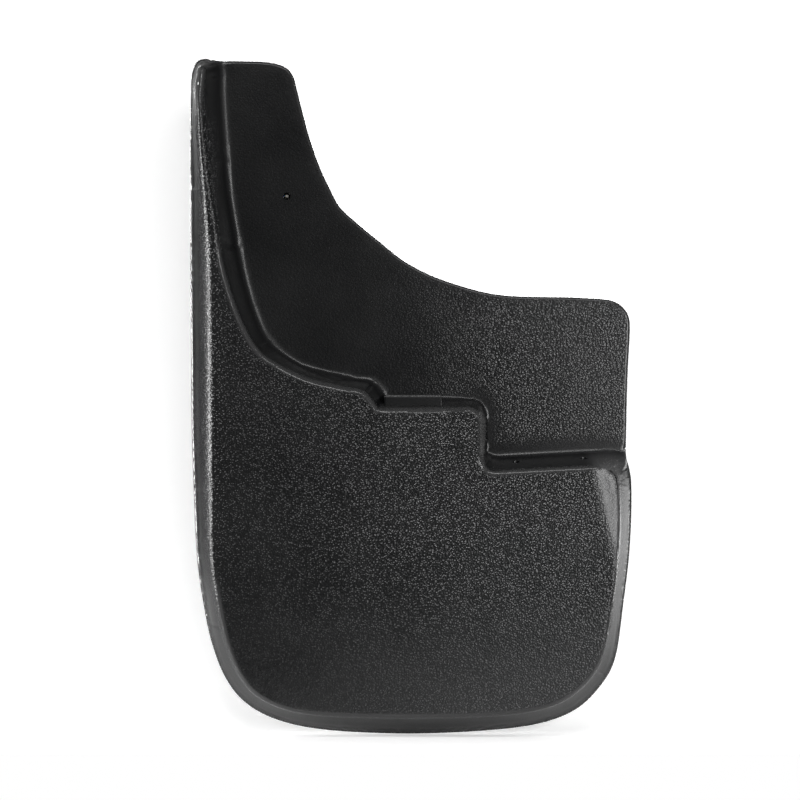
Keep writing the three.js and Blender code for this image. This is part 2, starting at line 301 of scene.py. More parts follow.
def wall_share(points, run):
    """0 at the foot of a wall and 1 at its crest, going on past both; and a reader of its other values."""
    to_foot, at_foot = beside(points, run["foot"])
    to_crest, at_crest = beside(points, run["crest"])
    between = np.clip(to_foot / np.where(to_foot > to_crest, to_foot - to_crest, 1), 0, 1)
    up = np.where(to_foot <= 0, 0, np.where(to_crest >= 0, 1, between))

    def value(foot_name, crest_name=None):
        low, high = run[foot_name], run[crest_name or foot_name]
        return padded(low, at_foot) * (1 - up) + padded(high, at_crest) * up

    width = value("foot_width", "crest_width")
    share = np.where(to_foot <= 0, to_foot / width, np.where(to_crest >= 0, 1 + to_crest / width, up))
    return share, width, value


def walls(foot, crest):
    """The outer wall, and the wall along the ledges and up the ridge, from a foot loop to a crest loop."""
    n = OUTER["steps"]
    runs = slice(0, n), slice(n, None)
    return [wall(foot[r], crest[r], round=ROUND[r], soft=SOFT[r], cove=HAS_COVE[r]) for r in runs]


def past_facet(points):
    """How far each point lies to the right of the facet's line."""
    (x0, z0), (x1, z1) = FACET_TOP, FACET_FOOT
    length = math.hypot(x1 - x0, z1 - z0)
    return ((points[:, 0] - x0) * (z0 - z1) + (points[:, 1] - z0) * (x1 - x0)) / length


def raised(points, foot, crest, coved=True):
    """How far the surface is raised over the web, from 0 to 1, the walls' share and the coves' height."""
    rises, shares, bands = [], [], []
    for each in walls(foot, crest):
        share, width, value = wall_share(points, each)
        round_, cove = value("round"), value("cove") * ramp(width, 3, 7) * coved
        share = share / np.clip(1.02 - round_ * 0.62, 0.5, 1)  # steeper where the rounding takes more
        start = 0.2 * cove  # a coved wall starts later
        rise = soft_min((share - start) / (1 - start), 1.0, round_)
        rises.append(soft_max(rise, 0.0, value("soft")))
        reach = np.minimum(COVE["reach"], 0.35 * width)
        bands.append(ramp(share * width, -reach, reach) * COVE["height"] * cove)
        shares.append(share)
    meet = 0.14 * np.clip(8 - 8 * np.minimum(*rises), 0, 1) + 1e-6  # rounding where two walls meet
    return soft_min(*rises, meet), np.minimum(*shares), bands[1]


def edge_fall(points, radius):
    """How far the rounding of the free edge draws the surface in."""
    near = np.clip(radius - nearest(points, BOUNDARY)[0], 0, None)
    return radius - np.sqrt(np.clip(radius**2 - near**2, 0, None))


def front_height(points):
    """Height of the front surface over the web's plane, and the share of the wall it is at."""
    rise, share, band = raised(points, FOOT, CREST)
    height = soft_max(rise * PANEL_HEIGHT, band, 1.0)
    height -= soft_max(past_facet(points), 0.0, FACET_EASE) * FACET_FALL * np.clip((rise - 0.5) * 2, 0, 1)
    return height - edge_fall(points, EDGE_FRONT_RADIUS), share


def hollow_crest(foot):
    """The crest loop of the hollow, moved inwards where the hollow's foot comes too near."""
    room = nearest(CREST, foot)[0] * np.where(inside(CREST, foot), 1, -1)
    return inset(CREST, smoothed(np.clip(HOLLOW_WALL_LEAST - room, 0, 4), 4))


HOLLOW_FOOT = inset(FOOT, WALL)
HOLLOW_CREST = hollow_crest(HOLLOW_FOOT)


def back_height(points):
    """Height of the back surface over the web's front plane; it lies behind the plane round the hollow."""
    rise, share, _ = raised(points, HOLLOW_FOOT, HOLLOW_CREST, coved=False)
    return rise * PANEL_HEIGHT - WALL + edge_fall(points, EDGE_BACK_RADIUS), share


# ---- mesh of the shell ---------------------------------------------------------------------------


def grid_points(x_range, z_range, step, rise):
    """Points in rows a rise apart, with every second row moved on by half a step."""
    rows = enumerate(np.arange(*z_range, rise))
    return np.vstack([[(x, z) for x in np.arange(x_range[0] + step / 2 * (k % 2), x_range[1], step)]
                      for k, z in rows])


def on_ridge(points):
    """Whether points lie between the outer wall's crest and the ledges' crest, where the two are close."""
    n = OUTER["steps"]
    outer, inner = (nearest(points, line, closed=False)[0] for line in (CREST[:n], CREST[n:]))
    return (outer < RIDGE_REACH) & (inner < RIDGE_REACH) & (points[:, 0] < 0)


def thinned(points, reach, taken=()):
    """Drops every point that lies within reach of an earlier one or of one that is taken."""
    seen, kept = {}, []

    def cells(places):
        return map(tuple, np.floor(np.reshape(places, (-1, 2)) / reach).astype(int))

    for p, cell in zip(taken, cells(taken)):
        seen.setdefault(cell, []).append(p)
    for p, (i, j) in zip(points, cells(points)):
        round_about = [(i + across, j + up) for across in (-1, 0, 1) for up in (-1, 0, 1)]
        near = [q for cell in round_about for q in seen.get(cell, ())]
        if all((p[0] - q[0]) ** 2 + (p[1] - q[1]) ** 2 >= reach * reach for q in near):
            seen.setdefault((i, j), []).append(p)
            kept.append(p)
    return np.array(kept)


RIDGE_GRID = grid_points((-70, -50), (-60, 124), 0.6, 0.55)
RIDGE_POINTS = RIDGE_GRID[on_ridge(RIDGE_GRID)]
FACET_POINTS = [(x, z) for x in np.arange(186, 205, 1.2) for z in np.arange(-200, -138, 1.6)]


def surface_points(foot, crest, rows, edge_rings, extra=()):
    """Points for one side of the shell: fine across the walls and edges, wide apart on the flats."""
    across = [foot + (crest - foot) * share for share in rows]
    beyond = [inset(foot, -d) for d in BEYOND] + [inset(crest, d) for d in BEYOND]
    slopes = np.vstack([*across, *beyond])
    edges = [inset(BOUNDARY, d) for d in edge_rings]
    fine = thinned(np.vstack([*edges, slopes[~on_ridge(slopes)], RIDGE_POINTS, *extra]), FINE_GAP)
    to_edge, _ = nearest(fine, BOUNDARY)
    fine = fine[inside(fine, BOUNDARY) & (to_edge > EDGE_GAP)]
    spans = zip(BOUNDARY.min(0), BOUNDARY.max(0))
    grid = grid_points(*spans, FILL_STEP, FILL_STEP * math.sqrt(3) / 2)
    grid = grid[inside(grid, BOUNDARY)]
    return np.vstack([fine, thinned(grid, FILL_STEP * 0.6, np.vstack([fine, BOUNDARY]))])


def triangles(points):
    """Delaunay triangles of the points inside the boundary, whose points come first."""
    n = len(BOUNDARY)
    loop = [(i, (i + 1) % n) for i in range(n)]
    everything = np.vstack([BOUNDARY, points])
    made = delaunay_2d_cdt([Vector(p) for p in everything], loop, [list(range(n))], 1, 1e-7)
    return np.array([tuple(v) for v in made[0]]), [tuple(f) for f in made[2]]


def shell_mesh():
    """Front and back surfaces that share the free edge, as one mesh with the finish of each point."""
    front, front_faces = triangles(surface_points(FOOT, CREST, ROWS, FRONT_RINGS, [FACET_POINTS]))
    back, back_faces = triangles(surface_points(HOLLOW_FOOT, HOLLOW_CREST, ROWS[1:], BACK_RINGS))
    n = len(BOUNDARY)
    height, share = front_height(front)
    on_facet = front[:, 0] > FACET_POINTS[0][0] - 2
    height = eased(height, front_faces, (share > -0.6) & ((share < 1.5) | on_facet), FRONT_PASSES)
    depth, back_share = back_height(back)
    depth = eased(depth, back_faces, (back_share > -0.3) & (back_share < 1.5), BACK_PASSES)
    height[:n] = depth[:n] = -EDGE_Y
    behind = np.c_[back[:, 0], -depth, back[:, 1]][n:]
    verts = np.vstack([np.c_[front[:, 0], -height, front[:, 1]], behind])
    shift = len(front) - n
    faces = [f[::-1] if up_side(front, f) else f for f in front_faces]
    for f in back_faces:
        g = tuple(i if i < n else i + shift for i in f)
        faces.append(g if up_side(back, f) else g[::-1])
    mesh = bpy.data.meshes.new("shell")
    mesh.from_pydata([Vector(v) * MM for v in verts], [], faces)
    mesh.update()
    return finished(mesh, *(
        np.r_[values, np.full(len(behind), plain)]
        for values, plain in zip(front_finish(front, share), BACK_FINISH)
    ))


def finished(mesh, *finish):
    """Stores the values of each of FINISHES on a mesh, point by point."""
    for name, values in zip(FINISHES, finish):
        mesh.attributes.new(name, "FLOAT", "POINT").data.foreach_set("value", values)
    return mesh


def front_finish(points, share):
    """How grained the front is at each point, how glossy with a painted highlight, its painted glints,
    painted light and mattness.
    """
    painted_glints, pale, matt = painted_glint_share(points, share), painted_light_share(points, share), matt_share(points, share)
    return *grain_gloss_and_highlight(points, share), painted_glints, pale, matt


def eased(height, faces, where, times):
    """Heights drawn towards their neighbours' mean where asked, which rounds creases off."""
    ends = np.array([(f[i], f[i - 1]) for f in faces for i in range(3)])
    ends = np.vstack([ends, ends[:, ::-1]])
    count = np.bincount(ends[:, 0], minlength=len(height))
    for _ in range(times):
        mean = np.bincount(ends[:, 0], height[ends[:, 1]], len(height)) / count
        height = np.where(where, height + (mean - height) / 2, height)
    return height


def grain_gloss_and_highlight(points, share):
    """How grained the front is, and how glossy its crests and rim are, with a painted highlight on them."""
    x, z = points.T
    to_crest, _ = nearest(points, CREST)
    to_foot, _ = nearest(points, FOOT)
    to_edge, _ = nearest(points, BOUNDARY)
    on_wall = ramp(share, 0.0, 0.15) * ramp(share, 1.02, 0.9)
    right = ramp(x, 188, 198) * ramp(z, -270, -235)
    left = ramp(x, -50, -54) * ramp(z, -250, -200) * ramp(z, 110, 80)
    sides = np.maximum(left, right)  # the walls that are grained like the faces
    web = 0.3 + 0.7 * ramp(x, 35, 130)  # the grain grows coarser away from the arm
    web *= 1 - 0.88 * ramp(to_foot, 13, 3) * ramp(x, 100, 125)  # and fades above the lower ledge
    face = web + (1 - web) * ramp(share, 0.3, 0.9)
    facet = ramp(past_facet(points), -5, 5) * ramp(z, -200, -175) * ramp(share, 0.8, 1.0)
    face = face * (1 - 0.75 * facet)
    grain = face * (1 - on_wall * (1 - sides))
    crest = ramp(to_crest, 2.2, 0.8) * (1 - sides)
    foot = ramp(to_foot, 3.6, 1.5) * (1 - sides) * (share < 1)
    rim = ramp(to_edge, 2.6, 1.2)
    # crests, rim and feet are glossier, and drawn lighter both as worn edges and as a painted highlight
    gloss_and_highlight = np.maximum.reduce([crest, rim * 0.7, foot * 0.15])
    return np.clip(grain * (1 - np.maximum.reduce([crest * 0.8, rim, foot * 0.8])), 0.03, 1), gloss_and_highlight


def painted_glint_share(points, share):
    """How pale the pebbles' tops are painted, as glints: most on the lower panel and the web's outer half.
    """
    x, z = points.T
    to_foot, _ = nearest(points, FOOT)
    web = (0.02 + 0.55 * ramp(x, 40, 150)) * ramp(to_foot, 3, 12)
    panel = (0.4 + 0.6 * ramp(x, -30, 110)) * (0.2 + 0.8 * ramp(z, -275, -170))
    panel = np.maximum(panel, 0.9 * ramp(x, -40, -56) * ramp(z, -220, -150))
    return np.clip(web + (panel - web) * np.clip(share, 0, 1), 0, 1)


def matt_share(points, share):
    """Where the moulding is smooth but dull: on the outer wall."""
    to_edge, _ = nearest(points, OUTER_EDGE, closed=False)
    on_wall = ramp(share, -0.1, 0.1) * ramp(share, 1.0, 0.85)
    return on_wall * ramp(to_edge, 24, 18) * ramp(points[:, 0], -60, -50)


def painted_light_share(points, share):
    """How far the black is painted grey as light and highlight: most in the lower right of the panel and on
    its facet.
    """
    x, z = points.T
    # painted light: lighter towards the lower right and on the web's right; the facet is a painted highlight
    panel = 0.3 * (0.25 + 0.75 * ramp(x, -20, 150)) * ramp(z, -190, -280)
    facet = ramp(past_facet(points), -5, 5) * ramp(z, -235, -180)
    web = 0.1 * ramp(x, 90, 190)
    return np.clip(web + (np.maximum(panel, facet) - web) * np.clip(share, 0, 1), 0, 1)


def up_side(points, face):
    """Whether a face turns the way that points towards +Y."""
    (ax, az), (bx, bz), (cx, cz) = points[list(face)]
    return (bx - ax) * (cz - az) - (cx - ax) * (bz - az) < 0


# ---- turned forms, fixings and their bosses --------------------------------------------------------

SHANK_RADIUS = 2.1
PITCH = 1.5
THREAD_DEPTH = 0.55
POINT = 4.0  # length of the tapered tip
HEAD_HEIGHT = 5.0  # flange and hexagon
HALF_FLATS = 4.0  # half the hexagon's width across flats
BORE_RADIUS = 2.35
BOSS_DEPTH = 12.0
BOSS_RADIUS = 8.1
SEAT_RADIUS, SEAT_DEPTH = 5.1, 2.2
GUSSET = {"thick": 2.0, "reach": 9.0}
FIXINGS = ("web", "upper_ledge", "lower_ledge_inner", "lower_ledge_outer")
LEDGE_LINES = {  # height of the ledge at the web and at its crest, at each ledge screw
    "upper_ledge": (-90.0, -97.5),
    "lower_ledge_inner": (-126.1, -137.6),
    "lower_ledge_outer": (-123.8, -135.0),
}


def placed(name, data):
    """An object in the scene for a mesh, a lamp or a camera."""
    obj = bpy.data.objects.new(name, data)
    bpy.context.scene.collection.objects.link(obj)
    return obj


def shaded(obj, degrees):
    """Smooth shading but for the edges sharper than an angle."""
    obj.data.polygons.foreach_set("use_smooth", [True] * len(obj.data.polygons))
    obj.data.set_sharp_from_angle(angle=math.radians(degrees))
    return obj


def turned(name, profile, sides=48, radius_at=None):
    """A closed form of revolution about Z from (radius, height) points in mm."""
    rings = []
    angles = np.arange(sides) * 2 * math.pi / sides
    for r, z in profile:
        radii = radius_at(angles, r, z) if radius_at else np.full(sides, r)
        rings.append(np.c_[radii * np.cos(angles), radii * np.sin(angles), np.full(sides, z)])
    verts = np.vstack(rings)
    faces = []
    for k in range(len(profile) - 1):
        for i in range(sides):
            j = (i + 1) % sides
            faces.append((k * sides + i, k * sides + j, (k + 1) * sides + j, (k + 1) * sides + i))
    if profile[0] == profile[-1]:  # a ring, whose last row of points is its first one
        verts, last = verts[:-sides], (len(profile) - 1) * sides
        faces = [tuple(v - last if v >= last else v for v in f) for f in faces]
    else:
        faces.append(tuple(range(sides))[::-1])
        faces.append(tuple(range((len(profile) - 1) * sides, len(profile) * sides)))
    mesh = bpy.data.meshes.new(name)
    mesh.from_pydata([Vector(v) * MM for v in verts], [], faces)
    return mesh


def along(fixing):
    """Matrix that carries a form about Z to a fixing: its tip at the origin, Z towards the screw's head."""
    lo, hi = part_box("screw_" + fixing)
    middle = (lo + hi) / 2
    if fixing == "web":
        tip, turn = Vector((middle.x, lo.y, middle.z)), Matrix.Rotation(-math.pi / 2, 4, "X")
    else:
        tip, turn = Vector((middle.x, middle.y, hi.z)), Matrix.Rotation(math.pi, 4, "X")
    return Matrix.Translation(tip) @ turn


def boolean(obj, mesh, kind):
    """Joins a closed mesh to obj or cuts it away."""
    tool = placed("tool", mesh)
    change = obj.modifiers.new(kind, "BOOLEAN")
    change.operation, change.solver, change.object = kind, "MANIFOLD", tool
    shaped = bpy.data.meshes.new_from_object(obj.evaluated_get(bpy.context.evaluated_depsgraph_get()))
    obj.modifiers.clear()
    old, obj.data = obj.data, shaped
    bpy.data.objects.remove(tool)
    bpy.data.meshes.remove(old)
    bpy.data.meshes.remove(mesh)


def under_ledge(fixing, y, depth):
    """Height, at a place across a ledge, of the plane that lies so deep under its slope."""
    at_web, at_crest = LEDGE_LINES[fixing]
    return at_web - depth + (at_crest - at_web) * -y / PANEL_HEIGHT


def boss_mesh(fixing):
    """The tube that a screw goes through, with a rounded end; the web's has a flared foot."""
    if fixing == "web":
        flare = BOSS_RADIUS + 2.5
        foot = [(flare, 1.2), (flare, 3.02), (BOSS_RADIUS + 0.9, 3.6), (BOSS_RADIUS, 5.4)]
    else:
        foot = [(BOSS_RADIUS, -14.0)]
    end = [(BOSS_RADIUS - 0.1, BOSS_DEPTH - 0.9), (BOSS_RADIUS - 0.35, BOSS_DEPTH - 0.3),
           (BOSS_RADIUS - 0.9, BOSS_DEPTH)]
    mesh = turned("boss", foot + end)
    mesh.transform(along(fixing))
    if fixing in LEDGE_LINES:
        for v in mesh.vertices:  # it ends inside the ledge
            v.co.z = min(v.co.z, under_ledge(fixing, v.co.y / MM, 0.9) * MM)
    return mesh


def prism_mesh(corners, thick):
    """A plate of the outline in its own XZ plane, with its thickness along Y."""
    n = len(corners)
    verts = [(x, side * thick / 2, z) for side in (-1, 1) for x, z in corners]
    faces = [tuple(range(n)), tuple(range(2 * n - 1, n - 1, -1))]
    faces += [(i, i + n, (i + 1) % n + n, (i + 1) % n) for i in range(n)]
    mesh = bpy.data.meshes.new("prism")
    mesh.from_pydata([Vector(v) * MM for v in verts], [], faces)
    shaped = bmesh.new()
    shaped.from_mesh(mesh)
    bmesh.ops.recalc_face_normals(shaped, faces=shaped.faces)
    shaped.to_mesh(mesh)
    shaped.free()
    return mesh


def gusset_meshes(fixing):
    """Four ribs round the web's boss, or one from a ledge boss to the front wall."""
    if fixing == "web":
        foot, top = BOSS_RADIUS + GUSSET["reach"], BOSS_DEPTH - 1
        corners = [(0, 1.5), (foot, 1.5), (foot, WALL + 0.6), (BOSS_RADIUS, top), (0, top)]
        for quarter in range(4):
            mesh = prism_mesh(corners, GUSSET["thick"])
            mesh.transform(along(fixing) @ Matrix.Rotation((quarter + 0.5) * math.pi / 2, 4, "Z"))
            yield mesh
        return
    lo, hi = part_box("screw_" + fixing)
    y, tip = (lo.y + hi.y) / 2 / MM, hi.z / MM
    front = -PANEL_HEIGHT + WALL / 2
    low = tip - BOSS_DEPTH + 1  # level, and clear of the washers when the screw is driven home
    top = [(at, under_ledge(fixing, at, 1.2)) for at in (y, front)]
    mesh = prism_mesh([(y, low), *top, (front, low)], GUSSET["thick"])
    turn = Matrix.Rotation(math.pi / 2, 4, "Z")
    mesh.transform(Matrix.Translation(((lo.x + hi.x) / 2, 0, 0)) @ turn)
    yield mesh


def bore_mesh(fixing):
    """The hole for the screw, with the seat that takes the retaining washer."""
    through = 5 if fixing == "web" else 20
    seat, past = BOSS_DEPTH - SEAT_DEPTH, BOSS_DEPTH + 2
    wide = [(SEAT_RADIUS, seat), (SEAT_RADIUS, past)]
    mesh = turned("bore", [(BORE_RADIUS, -through), (BORE_RADIUS, seat), *wide])
    mesh.transform(along(fixing))
    return mesh


def pad_mesh():
    """The landing pad on the upper ledge: flat on top, with a rounded front edge."""
    (left, right), top, reach = PAD["x"], PAD["top"], PAD["reach"]
    arc = [(math.sin(math.radians(a)), math.cos(math.radians(a))) for a in range(0, 91, 15)]
    r = 1.3  # of the front edge
    front = [(-reach + r - r * s, top - r + r * c) for s, c in arc]
    outline = [(1.5, top), *front, (-reach, top - 2.2), (-reach - 0.2, top - 8.4), (1.5, top - 3.6)]
    mesh = prism_mesh(outline, right - left)
    middle = Matrix.Translation(((left + right) / 2 * MM, 0, 0))
    mesh.transform(middle @ Matrix.Rotation(math.pi / 2, 4, "Z"))
    ends = bmesh.new()
    ends.from_mesh(mesh)
    side = [e for e in ends.edges if abs(e.verts[0].co.x - e.verts[1].co.x) < 1e-6]
    bmesh.ops.bevel(ends, geom=side, offset=0.7 * MM, segments=2, affect="EDGES")
    ends.to_mesh(mesh)
    ends.free()
    # the pad's rounded front edge is glossier, and painted lighter as a highlight
    edge = [float(v.co.z > (top - 1.4) * MM and v.co.y < (r - reach + 0.1) * MM) for v in mesh.vertices]
    none = [0.0] * len(edge)
    return finished(mesh, [0.1] * len(edge), edge, none, none, none)


def guard_shell():
    """The whole moulding: the shell with its landing pad, bosses and gussets, and the screws' bores."""
    shell = placed("moulded_shell", shell_mesh())
    boolean(shell, pad_mesh(), "UNION")
    for fixing in FIXINGS:
        for mesh in (boss_mesh(fixing), *gusset_meshes(fixing)):
            boolean(shell, mesh, "UNION")
    for fixing in FIXINGS:
        boolean(shell, bore_mesh(fixing), "DIFFERENCE")
    shell.data.name = "moulded_shell"
    return shaded(shell, 42)


# ---- screws and washers ---------------------------------------------------------------------------


def screw(fixing):
    """Tapping screw: threaded shank with a gimlet point, washer flange and a hexagon head with a dimple."""
    lo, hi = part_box("screw_" + fixing)
    length = max(hi - lo) / MM
    under = length - HEAD_HEIGHT
    core = SHANK_RADIUS - THREAD_DEPTH
    blunt = 0.5 if fixing == "web" else 0.0  # the web screw's tip fills the spot on the front

    def threaded(angles, _, z):
        taper = blunt + (1 - blunt) * np.clip(z / POINT, 0, 1) ** 0.8
        phase = (z / PITCH - angles / (2 * math.pi)) % 1
        crest = np.clip(1 - abs(phase - 0.5) / 0.27, 0, 1)
        runout = np.clip((under - 1.0 - z) / 1.5, 0, 1)
        return np.maximum((core + (SHANK_RADIUS - core) * crest * runout) * taper, 0.08)

    rows = [(SHANK_RADIUS, z) for z in np.arange(0, under + 0.01, 0.125)]
    shank = turned("shank", rows, 40, threaded)
    flange = [(5.2, under), (5.45, under + 0.2), (5.5, under + 0.5), (5.4, under + 0.85),
              (5.1, under + 1.0), (3.4, under + 1.15)]
    washer_face = turned("flange", flange, 72)

    def hexagon(angles, r, _):
        flat = HALF_FLATS / np.cos((angles + math.pi / 6) % (math.pi / 3) - math.pi / 6)
        return np.minimum(flat - 0.02, r)

    corner = HALF_FLATS / math.cos(math.pi / 6)
    sides = [(corner, under + 0.9), (corner, length - 0.75), (corner - 0.25, length - 0.3)]
    dimple = [(2.6, length), (2.3, length - 0.15), (1.9, length - 0.75), (0.3, length - 0.8)]
    hexagonal = turned("hexagon", [*sides, (corner - 0.75, length), *dimple], 96, hexagon)
    joined = bmesh.new()
    for mesh in (shank, washer_face, hexagonal):
        joined.from_mesh(mesh)
    whole = bpy.data.meshes.new("screw")
    joined.to_mesh(whole)
    joined.free()
    whole.transform(along(fixing))
    return shaded(placed(f"tapping_screw_{fixing}", whole), 38)


def spread(fixing, node):
    """Where a washer's near and far faces are along its fixing, from the screw's tip, and its radius."""
    lo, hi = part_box(node)
    tip_lo, tip_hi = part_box("screw_" + fixing)
    radius = (hi.x - lo.x) / 2 / MM
    if fixing == "web":
        return (lo.y - tip_lo.y) / MM, (hi.y - tip_lo.y) / MM, radius
    return (tip_hi.z - hi.z) / MM, (tip_hi.z - lo.z) / MM, radius


def flat_washer(fixing):
    """Punched steel washer, rounder on one side than on the other."""
    near, far, outer = spread(fixing, "washer_" + fixing)
    inner, r = BORE_RADIUS, 0.22
    profile = [(inner, near + r), (inner + r, near), (outer - r * 1.6, near), (outer - r / 2, near + r / 3),
               (outer, near + r * 1.3), (outer, far - r * 1.8), (outer - r * 0.7, far - r * 0.6),
               (outer - r * 2, far), (inner + r, far), (inner, far - r)]
    mesh = turned("washer", profile + profile[:1], 72)
    mesh.transform(along(fixing))
    return shaded(placed(f"flat_washer_{fixing}", mesh), 50)


def retaining_washer(fixing):
    """Nylon push-on washer: six soft teeth grip the thread."""
    near, far, outer = spread(fixing, "retaining_washer_" + fixing)
    inner, r = BORE_RADIUS, 0.25

    def toothed(angles, radius, _):
        gap = np.clip(np.cos(angles * 6) * 2.2 - 0.6, 0, 1)
        return np.where(radius < inner + 1.2, radius + gap, radius)

    profile = [(inner, near + r), (inner + r, near), (outer - r, near), (outer, near + r), (outer, far - r),
               (outer - r, far), (inner + r, far), (inner, far - r)]
    mesh = turned("retainer", profile + profile[:1], 96, toothed)
    mesh.transform(along(fixing))
    return shaded(placed(f"push_on_washer_{fixing}", mesh), 40)


# ---- materials ------------------------------------------------------------------------------------


class Shader:
    """The nodes of a material or a world, with short calls for what repeats."""

    def __init__(self, owner):
        owner.use_nodes = True
        self.owner = owner
        self.nodes, self.links = owner.node_tree.nodes, owner.node_tree.links
        self.surface = self.nodes.get("Principled BSDF") or self.nodes["Background"]
        self.coordinates = self.nodes.new("ShaderNodeTexCoord").outputs
        self.place = self.coordinates["Object"]

    def set(self, **values):
        for key, value in values.items():
            self.surface.inputs[key.replace("_", " ")].default_value = value

    def add(self, kind, inputs=None, **settings):
        node = self.nodes.new("ShaderNode" + kind)
        for key, value in settings.items():
            setattr(node, key, value)
        for key, value in (inputs or {}).items():
            if isinstance(value, bpy.types.NodeSocket):
                self.links.new(value, node.inputs[key])
            else:
                node.inputs[key].default_value = value
        return node

    def stored(self, name):
        """What the mesh stores under a name."""
        return self.add("Attribute", attribute_name=name).outputs["Fac"]

    def noise(self, scale, detail, rough=0.5):
        inputs = {"Vector": self.place, "Scale": scale, "Detail": detail, "Roughness": rough}
        return self.add("TexNoise", inputs).outputs["Fac"]

    def cells(self, scale, smooth):
        inputs = {"Vector": self.place, "Scale": scale, "Smoothness": smooth, "Randomness": 1.0}
        return self.add("TexVoronoi", inputs, feature="SMOOTH_F1").outputs["Distance"]

    def math(self, kind, a, b, c=0.0):
        return self.add("Math", {0: a, 1: b, 2: c}, operation=kind).outputs[0]

    def span(self, value, low, high, to_low, to_high):
        inputs = {"Value": value, "From Min": low, "From Max": high, "To Min": to_low, "To Max": to_high}
        return self.add("MapRange", inputs).outputs["Result"]

    def blend(self, share, a, b):
        return self.add("Mix", {0: share, 6: a, 7: b}, data_type="RGBA").outputs[2]

    def bump(self, height, distance, strength, under=None):
        inputs = {"Height": height, "Distance": distance * MM, "Strength": strength}
        if under is not None:
            inputs["Normal"] = under
        return self.add("Bump", inputs).outputs["Normal"]

    def wire(self, **sockets):
        for key, socket in sockets.items():
            self.links.new(socket, self.surface.inputs[key.replace("_", " ")])
        return self.owner


PEBBLES = 800  # per metre
BLACK, BLACK_PATCH = (0.0035, 0.0037, 0.004, 1), (0.0065, 0.0067, 0.007, 1)
# greys drawn over the black: painted light, painted glints, and worn edges with a painted highlight
PAINTED_LIGHT_GREY, PAINTED_GLINT_GREY, WORN_EDGE_AND_HIGHLIGHT = (0.06, 0.06, 0.061, 1), (0.28, 0.28, 0.283, 1), (0.04, 0.04, 0.0405, 1)


def moulded_plastic():
    """Black thermoplastic: pebble grain on the faces, smooth and glossier on edges and walls."""
    s = Shader(bpy.data.materials.new("grained_black_plastic"))
    grain, gloss_and_highlight, painted_glint, pale, matt = map(s.stored, FINISHES)
    pebble = s.cells(PEBBLES, 0.3)
    fine = s.noise(1300, 2.0, 0.6)
    patch = s.noise(18, 3.0, 0.55)
    height = s.math("SUBTRACT", s.math("MULTIPLY", fine, 0.2), pebble)
    normal = s.bump(height, 0.27, grain)
    normal = s.bump(s.noise(4200, 2.0), 0.02, 0.5, normal)
    rough = s.span(fine, 0.3, 0.7, 0.27, 0.37)
    rough = s.math("MULTIPLY_ADD", matt, 0.2, rough)
    rough = s.math("MULTIPLY_ADD", gloss_and_highlight, -0.16, rough)
    rough = s.math("ADD", rough, s.span(patch, 0.35, 0.7, -0.02, 0.04))
    # painted glints: the pebbles' tops are drawn pale, standing in for the lamps' sparkle
    top = s.math("MULTIPLY", s.span(pebble, 0.1, 0.32, 1.0, 0.0), s.math("MULTIPLY", grain, painted_glint))
    colour = s.blend(s.span(patch, 0.3, 0.75, 0.0, 1.0), BLACK, BLACK_PATCH)
    # the colour takes painted light, painted glints and the crests' painted highlight in turn
    for share, shade in ((pale, PAINTED_LIGHT_GREY), (top, PAINTED_GLINT_GREY), (gloss_and_highlight, WORN_EDGE_AND_HIGHLIGHT)):
        colour = s.blend(share, colour, shade)
    s.set(IOR=1.42)
    return s.wire(Base_Color=colour, Roughness=rough, Normal=normal)


def zinc_plated():
    """Zinc plate: pale metal with a faint yellow cast in patches and fine drawing marks."""
    s = Shader(bpy.data.materials.new("zinc_plated_steel"))
    cloud = s.noise(260, 4.0, 0.6)
    scratch = s.noise(2600, 3.0, 0.7)
    colour = s.blend(s.span(cloud, 0.35, 0.7, 0, 1), (0.52, 0.53, 0.55, 1), (0.62, 0.59, 0.5, 1))
    rough = s.span(scratch, 0.3, 0.75, 0.24, 0.44)
    s.set(Metallic=1.0)
    return s.wire(Base_Color=colour, Roughness=rough, Normal=s.bump(scratch, 0.02, 0.5))


def nylon():
    """Natural nylon: milky and slightly translucent, with faint flow marks."""
    s = Shader(bpy.data.materials.new("natural_nylon"))
    flow = s.noise(480, 3.0, 0.5)
    colour = s.blend(s.span(flow, 0.3, 0.7, 0, 1), (0.66, 0.63, 0.55, 1), (0.76, 0.74, 0.68, 1))
    s.set(Subsurface_Weight=0.15, Subsurface_Scale=0.002, IOR=1.53)
    return s.wire(Base_Color=colour, Roughness=s.span(flow, 0.3, 0.7, 0.38, 0.55),
                  Normal=s.bump(s.noise(1800, 2.0), 0.02, 0.5))


def dress(obj, material, node, body):
    """Gives a piece its material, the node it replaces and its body."""
    obj.data.materials.clear()
    obj.data.materials.append(material)
    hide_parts(node)
    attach(obj, body)


dress(guard_shell(), moulded_plastic(), "guard_shell", "guard")
STEEL, NYLON = zinc_plated(), nylon()
for fixing in FIXINGS:
    dress(screw(fixing), STEEL, "screw_" + fixing, "turn_" + fixing)
    dress(flat_washer(fixing), STEEL, "washer_" + fixing, "carrier_" + fixing)
    dress(retaining_washer(fixing), NYLON, "retaining_washer_" + fixing, "carrier_" + fixing)

# ---- stage, light and camera ------------------------------------------------------------------------

CAMERA_DISTANCE = 2.2
PICTURE_WIDTH = 0.52  # of the plane y = 0
CENTRE = Vector((0.065, 0, -0.091))  # the point that the camera and the lamps face
ROOM_LEVEL = 0.1
STAGE_COLOUR = (0.85, 0.85, 0.85, 1)


def seen_white(s, mirrored):
    """1 for what the camera sees straight, a share for what it sees in mirrors or through glass."""
    path = s.add("LightPath").outputs
    mirror = s.math("MAXIMUM", path["Is Glossy Ray"], path["Is Transmission Ray"])
    return s.math("MAXIMUM", path["Is Camera Ray"], s.math("MULTIPLY", mirror, mirrored))


